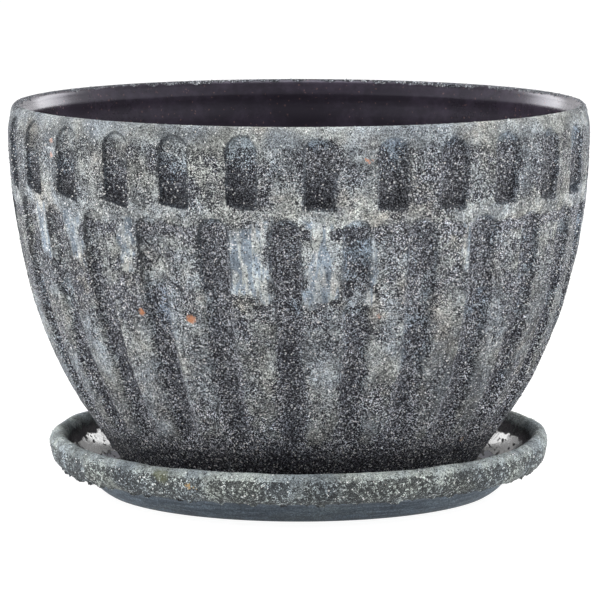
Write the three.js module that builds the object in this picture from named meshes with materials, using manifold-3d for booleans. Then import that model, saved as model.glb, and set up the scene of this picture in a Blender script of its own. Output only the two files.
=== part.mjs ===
// A planter bowl: a wide stoneware bowl with two rows of carved flutes, standing free in its own saucer.
// Millimetres, +Z up. The origin lies on the surface under the middle of the saucer, and -Y is the front.
import * as THREE from 'three';
import { mergeVertices } from 'three/addons/utils/BufferGeometryUtils.js';
import Module from 'manifold-3d';

const wasm = await Module();
wasm.setup();

// Bowl: heights are measured from its own foot
const bowlHeight = 191.7;
const bowlWall = 10;
const bowlFloor = 11;
const footRadius = 87;
const shoulderRadius = 148.9; // the wall's widest line, a little below the lip
const shoulderDrop = 17; // from the top of the lip down to that line
const lipInset = 1.5; // how far the lip is drawn in from that line
const lipThickness = 9.6;
const innerCorner = 20; // size of the curve between the inside wall and the floor

// Shape of the wall: the angles at which it leaves the foot and reaches the shoulder, in degrees
// above level, and how long it keeps to each of them, as shares of the shoulder's height
const footAngle = 60;
const shoulderAngle = 88;
const footPull = 0.197;
const shoulderPull = 0.645;

// Underside and drain
const footRingWidth = 13;
const footRecess = 4;
const drainDiameter = 20;
const notchCount = 3;
const notchWidth = 12;
const notchRoof = 1; // foot ring left above a notch

// Flutes: one tool's width in both rows, the lower row set half a step round
const fluteCount = 27;
const fluteWidth = 15.5;
const fluteDepth = 3.6;
const firstFlute = 3.8; // degrees from the front, towards +X
const upperDrop = 5; // from the top of the lip to the upper arches
const upperLength = 34;
const rowGap = 6; // from the upper row's ledges down to the lower arches
const footBand = 27; // plain wall left under the lower row
const lowerLean = 1.5; // degrees that a lower flute drifts towards +X on its way down

// Shares of the tool's depth: at a flute's arch, at a lower flute's end and at the tool's sides
const archDepth = 0.4;
const endDepth = 0.5;
const sideDepth = 0.35;
const toolFlat = 0.5; // share of the tool's width that cuts at full depth

// Shares of a lower flute's length: where it reaches full depth and where it starts to fade
const fullFrom = 0.25;
const fadeFrom = 0.85;

// Saucer: it is sized round the bowl
const seatGap = 0.3;
const saucerFloor = 7;
const saucerHeight = 30.6;
const wellMargin = 11; // flat floor that shows round the bowl's foot
const saucerFootMargin = 2.5; // from the edge of that floor out to the edge of the underside
const saucerFootHeight = 9;
const saucerFootFlare = 7.8; // how far the foot's side leans out on its way up
const rimGap = 15.8; // room to pour water between the bowl's wall and the rim
const rimThickness = 10;
const rimRise = 6.6; // from the rim's widest line to its top
const rimTuck = 2.5; // roundness of the flare under that line
const coveReach = 8; // the curve between the well's floor and its side
const coveRise = 7.5;

// Fineness
const bowlSegments = 64;
const wallSteps = 8;
const shoulderSteps = 2;
const lipSteps = 4;
const insideSteps = 6;
const cornerSteps = 3;
const archSteps = 2;
const upperSteps = 1;
const lowerSteps = 4;
const saucerSegments = 64;
const saucerFootSteps = 2;
const flareSteps = 4;
const rimSteps = 6;
const coveSteps = 4;

const degree = Math.PI / 180;
const overcut = 3; // how far a cutting solid stands out of the wall that it cuts
const point = (r, z) => new THREE.Vector2(r, z);
const level = (angle) => point(Math.cos(angle * degree), Math.sin(angle * degree));

// Outline of the bowl's outer wall, from the foot to the outside of the lip
const shoulderHeight = bowlHeight - shoulderDrop;
const lipHeight = bowlHeight - lipThickness / 2;
const lipRadius = shoulderRadius - lipInset;
const foot = point(footRadius, 0);
const shoulder = point(shoulderRadius, shoulderHeight);
const bodyCurve = new THREE.CubicBezierCurve(
  foot,
  foot.clone().addScaledVector(level(footAngle), footPull * shoulderHeight),
  shoulder.clone().addScaledVector(level(shoulderAngle), -shoulderPull * shoulderHeight),
  shoulder,
);
const shoulderCurve = new THREE.QuadraticBezierCurve(
  shoulder,
  shoulder.clone().addScaledVector(level(shoulderAngle), (lipHeight - shoulderHeight) / 2),
  point(lipRadius, lipHeight),
);

// The outer wall at one height: its point, and the direction straight out of it
function wallAt(height) {
  const curve = height < shoulderHeight ? bodyCurve : shoulderCurve;
  let low = 0;
  let high = 1;
  while (high - low > 1e-9) {
    const middle = (low + high) / 2;
    if (curve.getPoint(middle).y < height) {
      low = middle;
    } else {
      high = middle;
    }
  }
  const along = curve.getTangent(low);
  return { place: curve.getPoint(low), out: point(along.y, -along.x) };
}

// A point in space from a radius, a height and an angle from the front
function around(r, z, angle) {
  return new THREE.Vector3(r * Math.sin(angle), -r * Math.cos(angle), z);
}

// The upper half of an ellipse, from its outer end over the top to its inner end
function crown(centre, halfWidth, rise, steps) {
  const curve = new THREE.EllipseCurve(centre.x, centre.y, halfWidth, rise, 0, Math.PI);
  return curve.getPoints(steps);
}

// A turned body: its outline runs up the outside and down the inside
function turned(outline, segments) {
  const geometry = new THREE.LatheGeometry(outline, segments);
  geometry.rotateX(Math.PI / 2);
  return geometry;
}

// A closed solid through rings of equal length, with a flat cap on each end
function loft(rings) {
  const size = rings[0].length;
  const index = [];
  for (let ring = 0; ring < rings.length - 1; ring += 1) {
    for (let i = 0; i < size; i += 1) {
      const a = ring * size + i;
      const b = ring * size + ((i + 1) % size);
      index.push(a, b, b + size, a, b + size, a + size);
    }
  }
  const last = (rings.length - 1) * size;
  for (let i = 1; i < size - 1; i += 1) {
    index.push(0, i + 1, i);
    index.push(last, last + i, last + i + 1);
  }
  const geometry = new THREE.BufferGeometry().setFromPoints(rings.flat());
  geometry.setIndex(index);
  return geometry;
}

function toSolid(geometry) {
  const bare = geometry.clone();
  bare.deleteAttribute('normal');
  bare.deleteAttribute('uv');
  const merged = mergeVertices(bare);
  return new wasm.Manifold(
    new wasm.Mesh({
      numProp: 3,
      vertProperties: new Float32Array(merged.attributes.position.array),
      triVerts: new Uint32Array(merged.index.array),
    }),
  );
}

function toGeometry(solid) {
  const mesh = solid.getMesh();
  const geometry = new THREE.BufferGeometry();
  geometry.setAttribute('position', new THREE.BufferAttribute(mesh.vertProperties, 3));
  geometry.setIndex(new THREE.BufferAttribute(mesh.triVerts, 1));
  geometry.computeVertexNormals();
  return geometry;
}

// The tool's section, across a flute: steep sides and a flat floor
const toolSection = [
  { across: -1, depth: sideDepth },
  { across: -toolFlat, depth: 1 },
  { across: toolFlat, depth: 1 },
  { across: 1, depth: sideDepth },
];

// The round end of a flute: how far from its tip, and the share of the tool's width it has there.
// It starts on a short flat, because a solid can't start on a point.
function archStations() {
  const toolRadius = fluteWidth / 2;
  const tip = 25 * degree;
  const stations = [];
  for (let i = 0; i <= archSteps; i += 1) {
    const angle = tip + ((Math.PI / 2 - tip) * i) / archSteps;
    stations.push({ down: toolRadius * (1 - Math.cos(angle)), width: Math.sin(angle) });
  }
  return stations;
}

function straightStations(from, to, steps) {
  const stations = [];
  for (let i = 1; i <= steps; i += 1) {
    stations.push({ down: from + ((to - from) * i) / steps, width: 1 });
  }
  return stations;
}

// An upper flute deepens all the way down and stops at a ledge
function upperStations() {
  const stations = [
    ...archStations(),
    ...straightStations(fluteWidth / 2, upperLength, upperSteps),
  ];
  const depthAt = (share) => archDepth + (1 - archDepth) * share;
  return stations.map((s) => ({ ...s, depth: depthAt(s.down / upperLength) }));
}

// A lower flute deepens at once, keeps its depth, and fades into a round end
function lowerStations(length) {
  const arch = archStations();
  const end = arch.slice(0, -1).reverse();
  const stations = [
    ...arch,
    ...straightStations(fluteWidth / 2, length - fluteWidth / 2, lowerSteps),
    ...end.map((s) => ({ down: length - s.down, width: s.width })),
  ];
  const deepen = (share) => archDepth + ((1 - archDepth) * share) / fullFrom;
  const fade = (share) => endDepth + ((1 - endDepth) * (1 - share)) / (1 - fadeFrom);
  const depthAt = (share) => Math.min(1, deepen(share), fade(share));
  return stations.map((s) => ({ ...s, depth: depthAt(s.down / length) }));
}

// The solid that one stroke of the tool takes out of the wall
function fluteCutter(top, stations, angle, lean) {
  const length = stations[stations.length - 1].down;
  const rings = stations.map((station) => {
    const { place, out } = wallAt(top - station.down);
    const middle = angle + (lean * station.down) / length;
    const halfAngle = (station.width * fluteWidth) / 2 / place.x;
    const at = (across, offset) =>
      around(place.x + out.x * offset, place.y + out.y * offset, middle + across * halfAngle);
    const floor = toolSection.map((s) => at(s.across, -s.depth * station.depth * fluteDepth));
    return [at(-1, overcut), ...floor, at(1, overcut)];
  });
  return toSolid(loft(rings));
}

function fluteCutters() {
  const step = (2 * Math.PI) / fluteCount;
  const upperTop = bowlHeight - upperDrop;
  const lowerTop = upperTop - upperLength - rowGap;
  const upper = upperStations();
  const lower = lowerStations(lowerTop - footBand);
  const cutters = [];
  for (let i = 0; i < fluteCount; i += 1) {
    const angle = firstFlute * degree + i * step;
    cutters.push(fluteCutter(upperTop, upper, angle, 0));
    cutters.push(fluteCutter(lowerTop, lower, angle + step / 2, lowerLean * degree));
  }
  return cutters;
}

// Ways out through the foot ring, so that water can leave the drain
function notchCutters() {
  const height = footRecess - notchRoof;
  const cutters = [];
  for (let i = 0; i < notchCount; i += 1) {
    const box = new THREE.BoxGeometry(notchWidth, footRingWidth * 2, height * 2);
    box.translate(0, footRingWidth / 2 - footRadius, 0);
    box.rotateZ(((i + 0.5) * 2 * Math.PI) / notchCount);
    cutters.push(toSolid(box));
  }
  return cutters;
}

// The inside wall follows the outer one, and a curve takes it down to the floor
function insidePoints(floorTop) {
  const cornerTop = floorTop + innerCorner;
  const points = [];
  for (let i = 0; i <= insideSteps; i += 1) {
    const height = shoulderHeight + ((cornerTop - shoulderHeight) * i) / insideSteps;
    const { place, out } = wallAt(height);
    points.push(place.addScaledVector(out, -bowlWall));
  }
  const low = points[insideSteps];
  const before = points[insideSteps - 1];
  const lean = (before.x - low.x) / (before.y - low.y);
  const bend = point(low.x - lean * (low.y - floorTop), floorTop);
  const corner = new THREE.QuadraticBezierCurve(low, bend, point(bend.x - innerCorner, floorTop));
  return [...points, ...corner.getPoints(cornerSteps).slice(1)];
}

function bowlGeometry() {
  const drainRadius = drainDiameter / 2;
  const ringInside = footRadius - footRingWidth;
  const floorTop = footRecess + bowlFloor;
  const lipCentre = point(lipRadius - lipThickness / 2, lipHeight);
  const outline = [
    point(drainRadius, footRecess),
    point(ringInside, footRecess),
    point(ringInside, 0),
    ...bodyCurve.getPoints(wallSteps),
    ...shoulderCurve.getPoints(shoulderSteps).slice(1),
    ...crown(lipCentre, lipThickness / 2, lipThickness / 2, lipSteps).slice(1),
    ...insidePoints(floorTop),
    point(drainRadius, floorTop),
    point(drainRadius, footRecess),
  ];
  const body = toSolid(turned(outline, bowlSegments));
  return toGeometry(body.subtract(wasm.Manifold.union([...fluteCutters(), ...notchCutters()])));
}

function saucerGeometry() {
  const wellRadius = footRadius + wellMargin;
  const underRadius = wellRadius + saucerFootMargin;
  const rimInside = wallAt(saucerHeight - saucerFloor - seatGap).place.x + rimGap;
  const rimOutside = rimInside + rimThickness;
  const widest = saucerHeight - rimRise;
  const footTop = point(underRadius + saucerFootFlare, saucerFootHeight);
  const footSide = new THREE.QuadraticBezierCurve(
    point(underRadius, 0),
    point(footTop.x, footTop.y / 2),
    footTop,
  );
  const flare = new THREE.QuadraticBezierCurve(
    footTop,
    point(rimOutside - rimTuck, (footTop.y * 2 + widest) / 3),
    point(rimOutside, widest),
  );
  const rimCentre = point(rimInside + rimThickness / 2, widest);
  const cove = new THREE.QuadraticBezierCurve(
    point(rimInside, widest),
    point(wellRadius + coveReach, saucerFloor + coveRise),
    point(wellRadius, saucerFloor),
  );
  const outline = [
    point(0, 0),
    ...footSide.getPoints(saucerFootSteps),
    ...flare.getPoints(flareSteps).slice(1),
    ...crown(rimCentre, rimThickness / 2, rimRise, rimSteps).slice(1),
    ...cove.getPoints(coveSteps).slice(1),
    point(0, saucerFloor),
  ];
  return turned(outline, saucerSegments);
}

function piece(name, geometry, look) {
  const mesh = new THREE.Mesh(geometry, new THREE.MeshStandardMaterial(look));
  mesh.name = name;
  return mesh;
}

const saucer = piece('saucer', saucerGeometry(), { color: 0x74828a, roughness: 0.85, metalness: 0 });
const bowl = piece('bowl', bowlGeometry(), { color: 0x6a7578, roughness: 0.95, metalness: 0 });
bowl.position.z = saucerFloor + seatGap;

const planter = new THREE.Group();
planter.add(saucer, bowl);

export default planter;
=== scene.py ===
import math

import bpy
import numpy as np
from mathutils import Matrix, Vector


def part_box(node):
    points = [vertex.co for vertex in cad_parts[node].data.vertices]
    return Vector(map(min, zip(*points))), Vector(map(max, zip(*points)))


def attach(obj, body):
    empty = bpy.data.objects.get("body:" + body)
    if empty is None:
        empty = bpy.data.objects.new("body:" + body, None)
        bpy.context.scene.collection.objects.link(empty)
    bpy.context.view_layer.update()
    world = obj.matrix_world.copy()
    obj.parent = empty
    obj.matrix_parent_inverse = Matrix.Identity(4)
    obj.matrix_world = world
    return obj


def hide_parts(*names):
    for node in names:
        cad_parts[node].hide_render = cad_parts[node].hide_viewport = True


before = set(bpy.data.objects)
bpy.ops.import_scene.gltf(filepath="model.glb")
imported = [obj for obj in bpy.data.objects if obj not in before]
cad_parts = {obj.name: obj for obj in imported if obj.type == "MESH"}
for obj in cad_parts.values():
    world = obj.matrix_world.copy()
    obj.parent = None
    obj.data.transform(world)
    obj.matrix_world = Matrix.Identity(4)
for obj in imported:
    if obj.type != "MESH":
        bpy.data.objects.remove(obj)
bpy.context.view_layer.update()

mm = 0.001
degree = math.pi / 180
bpy.context.scene.view_settings.view_transform = "Standard"


def sign(operation, swapped=False):
    # what one of the signs of arithmetic does when it meets a value
    def work(first, second):
        pair = (second, first) if swapped else (first, second)
        return maths(operation, *pair)

    return work


class Value:
    # an output of a node; a sum that is written with it becomes maths nodes in its tree
    __add__ = sign("ADD")
    __radd__ = sign("ADD", swapped=True)
    __sub__ = sign("SUBTRACT")
    __rsub__ = sign("SUBTRACT", swapped=True)
    __mul__ = sign("MULTIPLY")
    __rmul__ = sign("MULTIPLY", swapped=True)
    __truediv__ = sign("DIVIDE")
    __rtruediv__ = sign("DIVIDE", swapped=True)
    __pow__ = sign("POWER")
    __gt__ = sign("GREATER_THAN")
    __lt__ = sign("LESS_THAN")

    def __init__(self, socket):
        self.tree = socket.id_data
        self.socket = socket

    def __abs__(self):
        return maths("ABSOLUTE", self)


def feed(socket, value):
    # a value is either another node's output or a constant
    if isinstance(value, Value):
        value.tree.links.new(value.socket, socket)
    else:
        socket.default_value = value


def addNode(tree, kind, inputs=None, **settings):
    node = tree.nodes.new(kind)
    for name, value in settings.items():
        setattr(node, name, value)
    for key, value in (inputs or {}).items():
        feed(node.inputs[key], value)
    return node


def make(tree, kind, inputs=None, output=0, **settings):
    return Value(addNode(tree, kind, inputs, **settings).outputs[output])


def valuesOf(node):
    return {socket.name: Value(socket) for socket in node.outputs}


def treeOf(*values):
    return next(value.tree for value in values if isinstance(value, Value))


def maths(operation, *values, clamp=False):
    inputs = dict(enumerate(values))
    return make(treeOf(*values), "ShaderNodeMath", inputs, operation=operation, use_clamp=clamp)


def least(first, second):
    return maths("MINIMUM", first, second)


def most(first, second):
    return maths("MAXIMUM", first, second)


def distance(x, y):
    return maths("SQRT", x * x + y * y)


def ramp(value, low, high, toLow=0.0, toHigh=1.0):
    # a smooth step from one value to another
    inputs = dict(enumerate((value, low, high, toLow, toHigh)))
    return make(value.tree, "ShaderNodeMapRange", inputs, interpolation_type="SMOOTHSTEP")


def noise(vector, scale, detail=2.0, roughness=0.5):
    inputs = {"Vector": vector, "Scale": scale, "Detail": detail, "Roughness": roughness}
    return make(vector.tree, "ShaderNodeTexNoise", inputs)


def stretched(vector, scale, move=(0, 0, 0)):
    inputs = {"Vector": vector, "Location": move, "Scale": scale}
    return make(vector.tree, "ShaderNodeMapping", inputs)


def axes(vector):
    return list(valuesOf(addNode(vector.tree, "ShaderNodeSeparateXYZ", {0: vector})).values())


def blendColour(factor, first, second, mode="MIX"):
    tree = treeOf(factor, first, second)
    inputs = {0: factor, 6: first, 7: second}
    return make(tree, "ShaderNodeMix", inputs, 2, data_type="RGBA", blend_type=mode)


def tinted(colour, tint):
    return blendColour(1.0, colour, tint, "MULTIPLY")


def greyOf(value):
    return make(value.tree, "ShaderNodeCombineColor", {0: value, 1: value, 2: value})


def namedValue(place, name):
    # reads one of the values that are stored on a mesh's points
    tree = place.tree
    if tree.bl_idname == "ShaderNodeTree":
        return make(tree, "ShaderNodeAttribute", output="Fac", attribute_name=name)
    return make(tree, "GeometryNodeInputNamedAttribute", {"Name": name}, data_type="FLOAT")


def stored(geometry, name, value):
    inputs = {"Geometry": geometry, "Name": name, "Value": value}
    kind = "GeometryNodeStoreNamedAttribute"
    return make(geometry.tree, kind, inputs, data_type="FLOAT", domain="POINT")


def moved(geometry, offset):
    return make(geometry.tree, "GeometryNodeSetPosition", {"Geometry": geometry, "Offset": offset})


def raised(geometry, height):
    return moved(geometry, make(geometry.tree, "ShaderNodeCombineXYZ", {"Z": height}))


def swollen(geometry, out):
    # moves each point along its normal
    inputs = {0: make(geometry.tree, "GeometryNodeInputNormal"), "Scale": out}
    return moved(geometry, make(geometry.tree, "ShaderNodeVectorMath", inputs, operation="SCALE"))


def dress(geometry, material, result):
    # the end of a tree: real faces that wear their material
    real = make(geometry.tree, "GeometryNodeRealizeInstances", {0: geometry})
    inputs = {"Geometry": real, "Material": material}
    feed(result["Geometry"], make(geometry.tree, "GeometryNodeSetMaterial", inputs))


def newTree(name, inputs, outputs=None):
    # labels for each kind of socket; a tree without outputs of its own takes a mesh and returns it
    kind = "ShaderNodeTree"
    if outputs is None:
        kind = "GeometryNodeTree"
        outputs = {"Geometry": ["Geometry"]}
        inputs = {**outputs, **inputs}
    tree = bpy.data.node_groups.new(name, kind)
    for way, sockets in (("INPUT", inputs), ("OUTPUT", outputs)):
        for socketKind, labels in sockets.items():
            for label in labels:
                tree.interface.new_socket(name=label, in_out=way, socket_type="NodeSocket" + socketKind)
    given = valuesOf(addNode(tree, "NodeGroupInput"))
    return tree, given, addNode(tree, "NodeGroupOutput").inputs


def useGroup(group, place, **values):
    # grainSize goes to the input that is labelled Grain size, and so on
    inputs = {"Vector": place}
    for name, value in values.items():
        label = name[0].upper() + "".join(" " + c.lower() if c.isupper() else c for c in name[1:])
        inputs[label] = value
    return valuesOf(addNode(place.tree, "ShaderNodeGroup", inputs, node_tree=group))


def newObject(name, data):
    obj = bpy.data.objects.new(name, data)
    bpy.context.scene.collection.objects.link(obj)
    return obj


def grow(obj, tree, values):
    # runs a tree on the object, and keeps what comes out as its own plain mesh
    modifier = obj.modifiers.new(tree.name, "NODES")
    modifier.node_group = tree
    for item in tree.interface.items_tree:
        if item.in_out == "INPUT" and item.name in values:
            modifier[item.identifier] = values[item.name]
    graph = bpy.context.evaluated_depsgraph_get()
    made = bpy.data.meshes.new_from_object(
        obj.evaluated_get(graph), preserve_all_data_layers=True, depsgraph=graph
    )
    obj.modifiers.clear()
    obj.data = made


def bezier(points, steps):
    t = np.linspace(0, 1, steps)[:, None]
    points = [np.array(p, float) for p in points]
    while len(points) > 1:
        points = [a + (b - a) * t for a, b in zip(points, points[1:])]
    return points[0]


def slope(angle):
    return np.array([math.cos(angle * degree), math.sin(angle * degree)])


def turnedMesh(name, rings, columns, closed=False):
    # rings are (radius, height, twist, coarse) in mm and degrees, from the middle of the underside
    # outwards and over the top; they close on the first again, or on a point in the middle
    points = []
    starts = []
    for radius, height, twist, coarse in rings:
        angles = (columns[::2] if coarse else columns) + twist * degree
        starts.append(len(points))
        level = np.full(len(angles), height * mm)
        points.extend(zip(radius * mm * np.sin(angles), -radius * mm * np.cos(angles), level))
    faces = []
    half = len(columns) // 2
    for i, ring in enumerate(rings):
        after = (i + 1) % len(rings)
        if closed and after == 0:
            break
        a, b = starts[i], starts[after]
        fine, nextFine = not ring[3], not rings[after][3]
        if fine == nextFine:
            size = len(columns) if fine else half
            for k in range(size):
                n = (k + 1) % size
                faces.append((a + k, a + n, b + n, b + k))
            continue
        for k in range(half):
            n = (k + 1) % half
            m, e = 2 * k + 1, (2 * k + 2) % (2 * half)
            if fine:
                faces.append((a + 2 * k, a + m, b + k))
                faces.append((a + m, b + n, b + k))
                faces.append((a + m, a + e, b + n))
            else:
                faces.append((a + k, b + m, b + 2 * k))
                faces.append((a + k, a + n, b + m))
                faces.append((a + n, b + e, b + m))
    if closed:
        below, above = len(points), len(points) + 1
        points.append((0, 0, rings[0][1] * mm))
        points.append((0, 0, rings[-1][1] * mm))
        last = starts[-1]
        for k in range(half):
            n = (k + 1) % half
            faces.append((below, n, k))
            faces.append((last + k, last + n, above))
    mesh = bpy.data.meshes.new(name)
    mesh.from_pydata(points, [], faces)
    mesh.polygons.foreach_set("use_smooth", np.ones(len(mesh.polygons), bool))
    return mesh


farthest = 60  # mm; the distance to the end of a coat isn't followed beyond this


def alongOf(path):
    # how far along a path each of its points lies
    steps = np.linalg.norm(np.diff(path, axis=0), axis=1)
    return np.concatenate([[0], np.cumsum(steps)])


def storeByRing(mesh, name, rings, columns, values):
    # one value for each ring, written to all of its points
    counts = [len(columns) // 2 if ring[3] else len(columns) for ring in rings]
    spread = np.repeat(values, counts)
    middle = np.full(len(mesh.vertices) - len(spread), values[-1])
    attribute = mesh.attributes.new(name, "FLOAT", "POINT")
    attribute.data.foreach_set("value", np.concatenate([spread, middle]).astype(np.float32))


cameraSizes = {
    "distance": 2.0496,  # metres in front of the axis
    "height": 0.37275,
    "pitch": 0.134,  # radians, looking down
    "focal": 4033.6,  # pixels in a picture 600 wide
    "picture": 600,
    "sideways": 0.8,  # pixels that the axis stands left of the picture's middle
}


def makeCamera():
    s = cameraSizes
    camera = newObject("camera", bpy.data.cameras.new("camera"))
    camera.location = (0, -s["distance"], s["height"])
    camera.rotation_euler = (math.pi / 2 - s["pitch"], 0, 0)
    camera.data.sensor_width = 36
    camera.data.lens = s["focal"] * camera.data.sensor_width / s["picture"]
    camera.data.shift_x = s["sideways"] / s["picture"]
    camera.data.clip_end = 100
    bpy.context.scene.camera = camera


lampSizes = {  # place and size in metres, strength in watts
    "left side": {"at": (-1.45, -0.3, 0.8), "size": (0.9, 1.3), "power": 22, "mirrored": False},
    "right side": {"at": (1.45, -0.3, 0.8), "size": (0.9, 1.3), "power": 19, "mirrored": False},
    "left rear": {"at": (-1.0, 1.15, 0.55), "size": (0.7, 0.8), "power": 10, "mirrored": True},
    "right rear": {"at": (1.0, 1.15, 0.55), "size": (0.7, 0.8), "power": 10, "mirrored": True},
    "top": {"at": (0, -0.1, 1.7), "size": (1.4, 1.0), "power": 17, "mirrored": True},
}
lampAim = (0, 0, 0.1)


def makeLamps():
    for name, s in lampSizes.items():
        lamp = bpy.data.lights.new(name + " softbox", "AREA")
        lamp.shape = "RECTANGLE"
        lamp.size, lamp.size_y = s["size"]
        lamp.energy = s["power"]
        obj = newObject(lamp.name, lamp)
        obj.location = s["at"]
        way = obj.location - Vector(lampAim)
        obj.rotation_euler = way.to_track_quat("Z", "Y").to_euler()
        obj.visible_glossy = s["mirrored"]


worldSizes = {  # strengths; the studio is darker in front of the object, and its backdrop is white
    "front": 0.5,
    "back": 0.72,
    "backdrop": 1.0,
    "sides": 1.2,  # of the backdrop's white, in reflections only
}


def makeWorld():
    s = worldSizes
    world = bpy.data.worlds.new("studio")
    bpy.context.scene.world = world
    world.use_nodes = True
    tree = world.node_tree
    background = tree.nodes["Background"]
    feed(background.inputs["Color"], (1, 1, 1, 1))
    x, y, z = axes(make(tree, "ShaderNodeTexCoord", output="Generated"))
    rays = valuesOf(addNode(tree, "ShaderNodeLightPath"))
    fill = ramp(y, -0.3, 0.7, s["front"], s["back"])
    mirrored = most(ramp(y, 0.5, 0.8), ramp(abs(x), 0.2, 0.8, 0.0, s["sides"]))
    mirrored = rays["Is Glossy Ray"] * (mirrored * ramp(z, 0.5, 0.3))
    white = most(rays["Is Camera Ray"], mirrored)
    feed(background.inputs["Strength"], fill + white * (s["backdrop"] - fill))


floorSizes = {
    "reach": 15,  # metres each way
    "colour": (0.8, 0.8, 0.8, 1),
    "glow": 1.25,
    "seen": 0.74,  # share of the glow in what the camera and the glaze see
}


def makeFloor():
    s = floorSizes
    reach = s["reach"]
    mesh = bpy.data.meshes.new("floor")
    corners = [(-reach, -reach, 0), (reach, -reach, 0), (reach, reach, 0), (-reach, reach, 0)]
    mesh.from_pydata(corners, [], [(0, 1, 2, 3)])
    floor = newObject("floor", mesh)
    material = bpy.data.materials.new("pale floor")
    material.use_nodes = True
    tree = material.node_tree
    tree.nodes.clear()
    matt = make(tree, "ShaderNodeBsdfDiffuse", {"Color": s["colour"]})
    white = make(tree, "ShaderNodeEmission", {"Strength": s["glow"]})
    rays = valuesOf(addNode(tree, "ShaderNodeLightPath"))
    seen = most(rays["Is Camera Ray"], rays["Is Glossy Ray"])
    mixed = make(tree, "ShaderNodeMixShader", {0: seen * s["seen"], 1: matt, 2: white})
    addNode(tree, "ShaderNodeOutputMaterial", {"Surface": mixed})
    mesh.materials.append(material)


makeCamera()
makeLamps()
makeWorld()
makeFloor()
print("stage: camera, five softboxes and floor")


def grainGroup():
    # sand: every cell is one grain with its own tone, in two sizes, and a share of them is pale or dark
    tree, given, result = newTree(
        "sand grains",
        {"Vector": ["Vector"], "Float": ["Grain size", "Pale share", "Dark share"]},
        {"Float": ["Tone", "Pale", "Dark", "Height"]},
    )
    place = given["Vector"]
    size = given["Grain size"]
    density = 1.0 / size
    bend = make(tree, "ShaderNodeTexNoise", {"Vector": place, "Scale": density * 0.7}, "Color")
    shift = make(tree, "ShaderNodeVectorMath", {0: bend, "Scale": size * 0.45}, operation="SCALE")
    bent = make(tree, "ShaderNodeVectorMath", {0: place, 1: shift}, operation="ADD")

    def cells(scale):
        cell = valuesOf(addNode(tree, "ShaderNodeTexVoronoi", {"Vector": bent, "Scale": scale}))
        bits = valuesOf(addNode(tree, "ShaderNodeSeparateColor", {0: cell["Color"]}))
        return cell["Distance"], list(bits.values())

    away, small = cells(density)
    farther, large = cells(density * 0.47)
    fromCrystal, bits = cells(density * 0.6)
    clumps = noise(place, density * 0.2, detail=3, roughness=0.6)
    tone = (small[0] - 0.5) * 1.4
    tone += (large[0] - 0.5) * 0.2
    tone -= (away - 0.42) * 1.0
    feed(result["Tone"], tone + (clumps - 0.5) * 0.6)
    gathered = given["Pale share"] * ramp(clumps, 0.35, 0.65, 0.4, 1.9)
    crystal = bits[1] > 1.0 - gathered
    crystal *= fromCrystal < 0.8
    feed(result["Pale"], crystal * (0.7 + bits[2] * 0.3))
    hole = bits[1] < given["Dark share"] * ramp(clumps, 0.6, 0.4, 0.5, 1.7)
    feed(result["Dark"], hole * (fromCrystal < 0.85))
    bulge = (0.75 - away) * (0.3 + small[2])
    swell = (0.75 - farther) * (large[2] * 1.6)
    feed(result["Height"], bulge + swell)
    return tree


def mottleGroup():
    # cloudy slip: large clouds, broken up by smaller ones
    tree, given, result = newTree(
        "slip clouds",
        {"Vector": ["Vector"], "Float": ["Cloud size", "Edge"]},
        {"Float": ["Cloud"]},
    )
    clouds = noise(given["Vector"], 1.0 / given["Cloud size"], detail=6, roughness=0.62)
    feed(result["Cloud"], ramp(clouds, 0.5 - given["Edge"], 0.5 + given["Edge"]))
    return tree


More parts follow.
